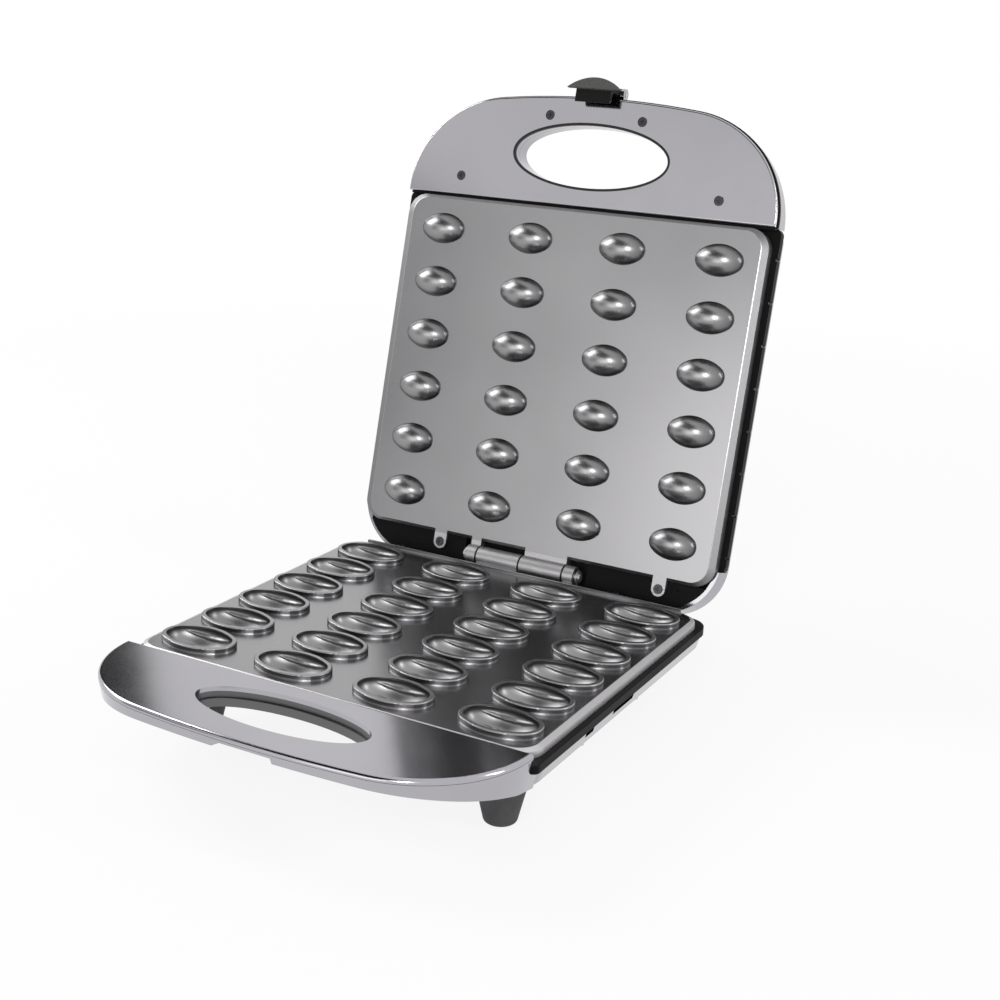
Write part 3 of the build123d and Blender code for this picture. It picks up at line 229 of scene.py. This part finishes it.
# Feet: four tapered plugs of moulded black rubber under the housing, bloomed to a dull grey.
# Each is held by a screw that sits deep inside its sole.
rubber, tree, surface = new_finish("dull_rubber", Specular_IOR_Level=0.3)
skin = effect(tree, grain, 1.1)
bloom = effect(tree, patches, 14.0)
paint(tree, surface, tint(tree, bloom["Tone"], (0.045, 0.045, 0.047), (0.075, 0.075, 0.078)),
      ramp(tree, skin["Tone"], 0.0, 1.0, 0.6, 0.8), skin["Height"], 0.05)
give(rubber, "foot_front_left", "foot_front_right", "foot_rear_left", "foot_rear_right")

# Screws that are out of sight: turned steel with bright zinc plating, which shows faint rings
# and drawing lines under the plating.
# Long streaks are what turning, drawing and rolling leave along X.
streaks, taken, given = effect_group("long_streaks", {"Size": 0.5}, ("Tone", "Height"))
place = add(streaks, "TexCoord").outputs["Object"]
pitch = sum_of(streaks, "DIVIDE", 1000.0, taken.outputs["Size"])
stretched = add(streaks, "Mapping", {"Vector": place, "Scale": (0.03, 1.0, 1.0)})
lines = add(streaks, "TexNoise", {
    "Vector": stretched.outputs[0], "Scale": pitch, "Detail": 3.0, "Roughness": 0.7,
})
streaks.links.new(ramp(streaks, lines.outputs[0], 0.3, 0.7), given.inputs["Tone"])
streaks.links.new(lines.outputs[0], given.inputs["Height"])

zinc, tree, surface = new_finish("bright_zinc", Metallic=1.0)
plated = effect(tree, grain, 0.8)
drawn = effect(tree, streaks, 0.35)
paint(tree, surface, tint(tree, plated["Tone"], (0.42, 0.42, 0.41), (0.62, 0.62, 0.60)),
      ramp(tree, drawn["Tone"], 0.0, 1.0, 0.22, 0.38), drawn["Height"], 0.015)
give(zinc, "foot_screws", "lower_frame_screws", "lower_shield_screws", "lower_clamp_screws")
give(zinc, "upper_frame_screws", "upper_shield_screws", "upper_clamp_screws",
     "lower_handle_screws")

# Terminal block and thermostats: fired ceramic and pressed cream phenolic, a little chalky.
# They are screwed down inside, where the heat of the tubes would soften plastic.
cream, tree, surface = new_finish("cream_ceramic", Specular_IOR_Level=0.4)
body_grain = effect(tree, grain, 0.9)
fired = effect(tree, patches, 9.0)
paint(tree, surface, tint(tree, fired["Tone"], (0.56, 0.51, 0.42), (0.70, 0.66, 0.57)),
      ramp(tree, body_grain["Tone"], 0.0, 1.0, 0.42, 0.6), body_grain["Height"], 0.03)
give(cream, "terminal_block", "lower_thermostat", "upper_thermostat")

# Leads: copper wire in a braided glass-fibre sleeve that stands the heat, from the terminal
# block to the tails of the lower tube. The fuse on them is a small plated can.
sleeve, tree, surface = new_finish("braided_sleeve", Specular_IOR_Level=0.3)
place = add(tree, "TexCoord").outputs["Object"]
braid = add(tree, "TexVoronoi", {"Vector": place, "Scale": 1600.0}).outputs["Distance"]
paint(tree, surface, tint(tree, braid, (0.62, 0.56, 0.38), (0.42, 0.37, 0.24)),
      ramp(tree, braid, 0.0, 1.0, 0.65, 0.85), braid, 0.15)
give(sleeve, "element_leads")
give(zinc, "thermal_fuse")

# Grommet: a ring of the same rubber as the feet, pushed into the housing's rear wall where the
# mains lead comes in.
give(rubber, "cord_inlet_grommet")

# Frames: the black ledge that each plate sits on, with the apron behind the upper plate.
# Both are filled black nylon that stands the heat, with the even grain of a spark-eroded mould,
# and they are screwed into the shells.
black, tree, surface = new_finish("black_moulding", Specular_IOR_Level=0.05)
moulded = effect(tree, grain, 0.7)
cloud = effect(tree, patches, 40.0)
paint(tree, surface, tint(tree, moulded["Tone"], (0.004, 0.004, 0.004), (0.010, 0.010, 0.010)),
      ramp(tree, cloud["Tone"], 0.0, 1.0, 0.34, 0.46), moulded["Height"], 0.04)
give(black, "lower_frame", "upper_frame")

# Reflectors and clamp bars: bright rolled aluminium sheet, folded and pressed. The reflectors
# lie between the tubes and the shells, the bars press the tubes against the plates.
sheet, tree, surface = new_finish("bright_sheet", Metallic=1.0)
rolled = effect(tree, streaks, 0.8)
smudge = effect(tree, patches, 45.0)
paint(tree, surface, tint(tree, smudge["Tone"], (0.58, 0.58, 0.59), (0.72, 0.72, 0.73)),
      ramp(tree, rolled["Tone"], 0.0, 1.0, 0.2, 0.34), rolled["Height"], 0.01)
give(sheet, "lower_heat_shield", "upper_heat_shield")
give(sheet, "lower_element_clamps", "upper_element_clamps")

# Heating tubes: bent stainless sheaths packed with powder, one under each plate. The steel has
# turned straw and blue-grey from the heat.
tube, tree, surface = new_finish("heat_tinted_tube", Metallic=1.0)
heat = effect(tree, patches, 22.0)
scale = effect(tree, grain, 0.9)
paint(tree, surface, tint(tree, heat["Tone"], (0.16, 0.15, 0.17), (0.33, 0.26, 0.18)),
      ramp(tree, scale["Tone"], 0.0, 1.0, 0.35, 0.55), scale["Height"], 0.02)
give(tube, "lower_heating_element", "upper_heating_element")

# Lower baking plate: an aluminium casting with 24 raised mould rims and a smooth grey coating.
# Its bevelled border and rear lip are ground back to bright metal, and its two hinge knuckles
# are turned bright, so they show streaks along X. Two ears are screwed to the frame.
knuckle_radius = 6.5


def cast_plate(name, outward, rearward, flat_face, crest, foot_shade_tone, crest_tone, raised_gloss,
               bevel_tone, ear_start, ear_tone):
    """A coated casting, with its raised parts, bevel, ears and knuckles told apart by place, and
    its raised parts painted darker towards their foot as painted shade.
    """
    finish, tree, surface = new_finish(name, Metallic=1.0)
    coat = effect(tree, grain, 0.9)
    cloud = effect(tree, patches, 85.0)
    turned = effect(tree, streaks, 0.55)
    local = from_hinge(tree)
    height = along(tree, local, outward)
    reach = along(tree, local, rearward)
    from_pin = length_of(tree, reach, height)
    at_knuckle = ramp(tree, from_pin, knuckle_radius + 0.4, knuckle_radius - 0.3)
    raised = ramp(tree, height, flat_face + 0.1, flat_face + 0.9)
    bevel = ramp(tree, height, flat_face - 0.05, flat_face - 0.2)
    ear = ramp(tree, reach, ear_start - mask_edge, ear_start + mask_edge)
    face_tone = sum_of(tree, "ADD", sum_of(tree, "MULTIPLY", coat["Tone"], 0.35),
                       sum_of(tree, "MULTIPLY", cloud["Tone"], 0.65))
    colour = tint(tree, face_tone, (0.31, 0.305, 0.312), (0.365, 0.36, 0.367))
    # Painted shade: the raised rims and domes go darker from their crest down to their foot.
    toward_crest = ramp(tree, height, *crest)
    colour = tint(tree, raised, colour, tint(tree, toward_crest, foot_shade_tone, crest_tone))
    colour = tint(tree, bevel, colour, bevel_tone)
    colour = tint(tree, ear, colour, ear_tone)
    bright = tint(tree, turned["Tone"], (0.28, 0.275, 0.28), (0.60, 0.595, 0.60))
    rough_face = ramp(tree, face_tone, 0.0, 1.0, 0.20, 0.26)
    rough_raised = ramp(tree, coat["Tone"], 0.0, 1.0, *raised_gloss)
    rough_edge = ramp(tree, coat["Tone"], 0.0, 1.0, 0.40, 0.48)
    rough_bright = ramp(tree, turned["Tone"], 0.0, 1.0, 0.42, 0.3)
    rough = either(tree, raised, rough_face, rough_raised)
    rough = either(tree, sum_of(tree, "MAXIMUM", bevel, ear), rough, rough_edge)
    rough = either(tree, at_knuckle, rough, rough_bright)
    paint(tree, surface, tint(tree, at_knuckle, colour, bright), rough, coat["Height"], 0.005)
    return finish


give(cast_plate(
    "lower_casting", outward=base_up, rearward=base_rear, flat_face=-3.2, crest=(-0.9, -0.2),
    foot_shade_tone=(0.11, 0.108, 0.112), crest_tone=(0.36, 0.355, 0.36), raised_gloss=(0.29, 0.36),
    bevel_tone=(0.60, 0.59, 0.60), ear_start=-11.3, ear_tone=(0.55, 0.54, 0.55),
), "lower_baking_plate")

# Ear screws and the lid handle's screws: turned steel, chemically blackened, with a cross recess.
# They hold the plates' ears to the frames and the two halves of the lid's handle together.
dark, tree, surface = new_finish("blackened_steel", Metallic=1.0)
etched = effect(tree, grain, 0.7)
paint(tree, surface, tint(tree, etched["Tone"], (0.045, 0.045, 0.047), (0.11, 0.11, 0.115)),
      ramp(tree, etched["Tone"], 0.0, 1.0, 0.26, 0.4), etched["Height"], 0.02)
give(dark, "lower_ear_screws", "upper_ear_screws", "upper_handle_screws")

# Mould linings: the walnut pattern inside the lower plate's moulds, cast in one with the plate.
# One middle rib and four side ribs run lengthwise, with shallow wrinkles between them. The
# lining is painted darker just under each rim as painted shade.
column_pitch, row_pitch = 64.5, 34.9
grid_before_hinge = 119.9
column_centres = [(column - 1.5) * column_pitch for column in range(4)]
row_centres = [(row - 2.5) * row_pitch - grid_before_hinge for row in range(6)]
mouth_half_length = 21.0
mouth_half_width = 12.7
mouth_end_radius = 9.0
lining_gap = 0.12
lining_top = 0.5
lining_tip = 0.05
lining_thickness = 0.25
relief_reach = 15.5
# Each rib's angle round the mould, height and spread in degrees.
ribs = ((90, 1.3, 8.0), (62, 1.05, 6.5), (118, 1.05, 6.5), (24, 1.0, 5.0), (156, 1.0, 5.0))
on_base = Matrix.Translation(hinge) @ Matrix.Scale(0.001, 4)


def oval_half_width(x, half_length, half_width, end_radius):
    """The half width of an oval of four arcs at a distance from its middle."""
    end_centre = half_length - end_radius
    flank = half_width - end_radius
    side_centre = (end_centre ** 2 - flank ** 2) / (2 * flank)
    meeting = end_centre * (1 + end_radius / math.hypot(end_centre, side_centre))
    if abs(x) > meeting:
        return math.sqrt(max(end_radius ** 2 - (abs(x) - end_centre) ** 2, 0.0))
    return math.sqrt((half_width + side_centre) ** 2 - x * x) - side_centre


def lining_relief(x, angle):
    """How far the walnut pattern stands up from the mould's wall, in millimetres."""
    fade = max(0.0, 1 - (x / relief_reach) ** 2)
    rib = 0.0
    for rib_angle, height, spread in ribs:
        bend = 0.035 * x * x * ((rib_angle < 40) - (rib_angle > 140))
        off = (angle - rib_angle + bend) / spread
        rib += height * math.exp(-off * off)
    slant = math.sin(x * 1.15 + angle * 0.16 + 0.8 * math.sin(x * 0.37))
    cross = math.sin(x * 0.55 - angle * 0.11)
    wrinkle = 0.13 * (2 + slant + 0.6 * cross) * math.sin(math.radians(angle)) ** 0.7
    return fade ** 0.5 * (rib + wrinkle)


def lining_place(x, radius, angle):
    """A point of the lining at an angle round the mould, from the rim through the bottom."""
    depth = radius - min(lining_relief(x, angle), radius * 0.4)
    y = -depth * math.cos(math.radians(angle))
    z = min(-depth * math.sin(math.radians(angle)), 0.0) - lining_top * (radius > 1.5)
    return x, y, max(z, -math.sqrt(max(radius ** 2 - y * y, 0.0)))


def place_mesh(shape, name):
    """A mesh object in the scene, made from a bmesh."""
    data = bpy.data.meshes.new(name)
    shape.to_mesh(data)
    shape.free()
    placed = bpy.data.objects.new(name, data)
    bpy.context.scene.collection.objects.link(placed)
    return placed


lining = bmesh.new()
steps_along, steps_round = 56, 72
for centre_x in column_centres:
    for centre_y in row_centres:
        grid = []
        for i in range(steps_along + 1):
            reach = mouth_half_length - lining_gap - lining_tip
            x = -math.cos(math.pi * i / steps_along) * reach
            radius = oval_half_width(x, mouth_half_length, mouth_half_width, mouth_end_radius)
            radius = max(radius - lining_gap, lining_tip)
            row = []
            for j in range(steps_round + 1):
                x, y, z = lining_place(x, radius, 180 * j / steps_round)
                row.append(lining.verts.new(on_base @ Vector((centre_x + x, centre_y + y, z))))
            grid.append(row)
        for i in range(steps_along):
            for j in range(steps_round):
                lining.faces.new(
                    (grid[i][j], grid[i + 1][j], grid[i + 1][j + 1], grid[i][j + 1])
                )
linings = place_mesh(lining, "mould_linings")
for face in linings.data.polygons:
    face.use_smooth = True
thicken = linings.modifiers.new("casting", "SOLIDIFY")
thicken.thickness = lining_thickness * 0.001
thicken.offset = -1
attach(linings, "base")

hollow, tree, surface = new_finish("mould_hollow", Metallic=1.0)
coat = effect(tree, grain, 0.9)
cloud = effect(tree, patches, 30.0)
# Painted shade: the lining goes nearly black in the top few millimetres under the rim.
rim_shade = ramp(tree, along(tree, from_hinge(tree), base_up), -4.2, -1.8)
colour = tint(tree, cloud["Tone"], (0.25, 0.246, 0.25), (0.33, 0.326, 0.33))
paint(tree, surface, tint(tree, rim_shade, colour, (0.06, 0.059, 0.06)),
      ramp(tree, coat["Tone"], 0.0, 1.0, 0.34, 0.42), coat["Height"], 0.01)
linings.data.materials.append(hollow)

# Handle cover: the D-shaped top of the base's handle, the same lacquered ABS as the housing.
# It drops over the housing's slot collar and is screwed from below.
give(silver, "lower_handle_cover")

# Hinge pin and its clips: a bright turned steel rod through the four knuckles, with a sprung
# clip in a groove at each end.
bright_pin, tree, surface = new_finish("turned_steel", Metallic=1.0)
turned = effect(tree, streaks, 0.4)
worn = effect(tree, patches, 6.0)
paint(tree, surface, tint(tree, worn["Tone"], (0.50, 0.50, 0.49), (0.66, 0.66, 0.65)),
      ramp(tree, turned["Tone"], 0.0, 1.0, 0.34, 0.5), turned["Height"], 0.01)
give(bright_pin, "hinge_pin", "hinge_pin_clips")

# Upper baking plate: the same casting as the lower one, with 24 domes that press the batter into
# the moulds. The domes and the border keep their coating, and only the ears are ground bright.
lid_open_angle = 103.9
lid_turn = Matrix.Rotation(math.radians(-lid_open_angle), 3, "X")
lid_out = lid_turn @ Vector((0, 0, -1))
lid_rear = lid_turn @ Vector((0, 1, 0))
give(cast_plate(
    "upper_casting", outward=lid_out, rearward=lid_rear, flat_face=-0.35, crest=(1.0, 9.5),
    foot_shade_tone=(0.10, 0.098, 0.102), crest_tone=(0.36, 0.355, 0.36), raised_gloss=(0.26, 0.33),
    bevel_tone=(0.22, 0.217, 0.222), ear_start=-9.4, ear_tone=(0.52, 0.51, 0.52),
), "upper_baking_plate")

# Lid's handle: two silver lacquered halves clamped together by four screws, with a black nylon
# liner between them that shows as a thin line along the outline. The slot's rounded front edge
# has a dark line painted all round it as painted shade.
# Painted shade: a near-black band round the slot's front edge.
lid_silver = lacquer(
    "silver_lacquer_lid", lid_out, lid_rear,
    slot_shade_reach=1.6, slot_shade_top=0.0, slot_shade_foot=-2.9, slot_shade_tone=(0.03, 0.03, 0.031),
)
give(lid_silver, "upper_handle_face", "upper_handle_shell")
give(black, "upper_handle_liner")

# Lid's cover: the domed back shell, one ABS moulding with the same lacquer as the housing.
# It closes over the upper frame and is screwed to it from the plate's side.
give(silver, "lid_cover")


# Lamps: one red and one green cap of clear coloured acrylic, snapped into the lid's back over
# two small neon lamps in glass.
def clear_finish(name, deep, pale):
    """Clear coloured plastic or glass, a little uneven in tone."""
    finish, tree, surface = new_finish(name, Transmission_Weight=0.75, IOR=1.49)
    cast = effect(tree, patches, 3.5)
    paint(tree, surface, tint(tree, cast["Tone"], deep, pale),
          ramp(tree, cast["Tone"], 0.0, 1.0, 0.05, 0.12), cast["Tone"], 0.02)
    return finish


give(clear_finish("red_acrylic", (0.55, 0.01, 0.01), (0.78, 0.05, 0.03)), "power_lamp_lens")
give(clear_finish("green_acrylic", (0.01, 0.36, 0.06), (0.04, 0.58, 0.12)), "ready_lamp_lens")
give(clear_finish("lamp_glass", (0.80, 0.66, 0.52), (0.90, 0.80, 0.70)), "neon_lamps")

# Latch: one clip of black nylon that turns on a steel pin in the lid handle's lugs, held by a
# coil spring. Its crescent grip has a coarse matt texture, and it is painted greyer than its body
# as a painted sheen.
grip_level = (5.2, 5.5)
grip_front = (-301.5, -302.0)
clip, tree, surface = new_finish("latch_moulding", Specular_IOR_Level=0.08)
local = from_hinge(tree)
grip_texture_and_sheen = sum_of(tree, "MINIMUM", ramp(tree, along(tree, local, lid_out), *grip_level),
                 ramp(tree, along(tree, local, lid_rear), *grip_front))
texture = effect(tree, grain, 1.0)
# Painted sheen: the grip is painted a lighter grey than the body, and it is also rougher.
smooth = tint(tree, texture["Tone"], (0.005, 0.005, 0.005), (0.011, 0.011, 0.011))
grip_sheen_tone = tint(tree, texture["Tone"], (0.060, 0.060, 0.059), (0.100, 0.100, 0.098))
paint(tree, surface, tint(tree, grip_texture_and_sheen, smooth, grip_sheen_tone),
      ramp(tree, grip_texture_and_sheen, 0.0, 1.0, 0.42, 0.55), texture["Height"], 0.04)
give(clip, "latch")
give(zinc, "latch_pin", "latch_spring")

# Studio floor: a wide pale sheet. Seen directly or mirrored it is nearly white, and it keeps the
# machine's own soft shadow; towards its far edge it turns fully white.
floor_radius = 6.0
plain_radius, white_radius = 0.4, 1.4
plain_whiteness = 0.86


def seen_directly(tree):
    """One for camera, mirrored and refracted rays, none for the light that falls on things."""
    rays = add(tree, "LightPath").outputs
    mirrored = sum_of(tree, "MAXIMUM", rays["Is Glossy Ray"], rays["Is Transmission Ray"])
    return sum_of(tree, "MAXIMUM", rays["Is Camera Ray"], mirrored)


disc = bmesh.new()
bmesh.ops.create_circle(disc, cap_ends=True, segments=96, radius=floor_radius)
floor = place_mesh(disc, "studio_floor")
paper, tree, surface = new_finish(
    "studio_paper", Base_Color=(0.9, 0.9, 0.9), Roughness=0.9, Specular_IOR_Level=0.0,
)
place = add(tree, "TexCoord").outputs["Object"]
away = add(tree, "VectorMath", {0: place}, operation="LENGTH").outputs["Value"]
whiteness = ramp(tree, away, plain_radius, white_radius, plain_whiteness, 1.0)
white = add(tree, "Emission", {"Color": (1, 1, 1, 1), "Strength": 1.0})
paper_mix = add(tree, "MixShader", {0: sum_of(tree, "MULTIPLY", seen_directly(tree), whiteness)})
tree.links.new(surface.outputs[0], paper_mix.inputs[1])
tree.links.new(white.outputs[0], paper_mix.inputs[2])
tree.links.new(paper_mix.outputs[0], tree.nodes["Material Output"].inputs["Surface"])
floor.data.materials.append(paper)

# Studio light: an even white room, with soft lamps at the left, low in front and at the right.
# A black ceiling cloth and grey cloths at the left show only in glossy surfaces.
world = bpy.data.worlds.new("studio")
bpy.context.scene.world = world
world.use_nodes = True
tree = world.node_tree
room_level = 0.55
level = ramp(tree, seen_directly(tree), 0.0, 1.0, room_level, 1.0)
tree.nodes["Background"].inputs["Color"].default_value = (1, 1, 1, 1)
tree.links.new(level, tree.nodes["Background"].inputs["Strength"])
middle = Vector((0.0, 0.0, 0.16))


def aim(thing, place, front):
    """Puts a thing in its place, with one side towards the middle of the machine."""
    thing.location = place
    thing.rotation_mode = "QUATERNION"
    thing.rotation_quaternion = (middle - Vector(place)).to_track_quat(front, "Y")


def soft_lamp(name, place, width, height, power):
    data = bpy.data.lights.new(name, "AREA")
    data.shape = "RECTANGLE"
    data.size, data.size_y = width, height
    data.energy = power
    lamp = bpy.data.objects.new(name, data)
    aim(lamp, place, "-Z")
    bpy.context.scene.collection.objects.link(lamp)


def hanging_card(name, place, width, height, colour):
    square = bmesh.new()
    bmesh.ops.create_grid(square, x_segments=1, y_segments=1, size=0.5)
    card = place_mesh(square, name)
    aim(card, place, "Z")
    card.scale = (width, height, 1)
    finish, tree, surface = new_finish(
        name, Base_Color=(0, 0, 0), Roughness=1.0, Specular_IOR_Level=0.0,
    )
    cloth = add(tree, "Emission", {"Color": (*colour, 1), "Strength": 1.0})
    tree.links.new(cloth.outputs[0], tree.nodes["Material Output"].inputs["Surface"])
    card.data.materials.append(finish)
    card.visible_camera = False
    card.visible_diffuse = False
    card.visible_shadow = False


soft_lamp("lamp_left", (-1.15, -0.1, 0.95), 0.7, 0.8, 9.0)
soft_lamp("lamp_low_front", (-0.22, -1.75, 0.28), 0.9, 0.9, 3.0)
soft_lamp("lamp_front_right", (0.5, -1.5, 0.8), 0.22, 0.6, 8.0)
soft_lamp("lamp_right", (1.3, 0.1, 0.75), 0.2, 0.8, 4.0)
hanging_card("ceiling_cloth", (-0.95, -1.0, 1.87), 3.4, 1.5, (0.008, 0.008, 0.008))
hanging_card("left_cloth", (-1.5, -1.35, 0.4), 0.9, 1.0, (0.42, 0.42, 0.43))
hanging_card("rear_left_cloth", (-1.295, 0.705, 0.71), 0.7, 0.74, (0.05, 0.05, 0.05))

# Camera: a little above the open machine, over the right front corner of the base, as in the
# photograph. It leans by two degrees.
camera_place = Vector((0.4444, hinge.y - 0.8627, 0.4104))
camera_azimuth = math.radians(28.3)
camera_elevation = math.radians(17.6)
camera_roll = math.radians(2.2)
back = Vector((
    math.sin(camera_azimuth) * math.cos(camera_elevation),
    -math.cos(camera_azimuth) * math.cos(camera_elevation),
    math.sin(camera_elevation),
))
level_right = (-back).cross(Vector((0, 0, 1))).normalized()
level_up = level_right.cross(-back)
right = level_right * math.cos(camera_roll) + level_up * math.sin(camera_roll)
up = level_up * math.cos(camera_roll) - level_right * math.sin(camera_roll)
lens = bpy.data.cameras.new("camera")
lens.sensor_width = 36.0
lens.lens = 57.82
camera = bpy.data.objects.new("camera", lens)
camera.matrix_world = Matrix((
    (right.x, up.x, back.x, camera_place.x),
    (right.y, up.y, back.y, camera_place.y),
    (right.z, up.z, back.z, camera_place.z),
    (0, 0, 0, 1),
))
bpy.context.scene.collection.objects.link(camera)
bpy.context.scene.camera = camera
bpy.context.scene.view_settings.view_transform = "Standard"
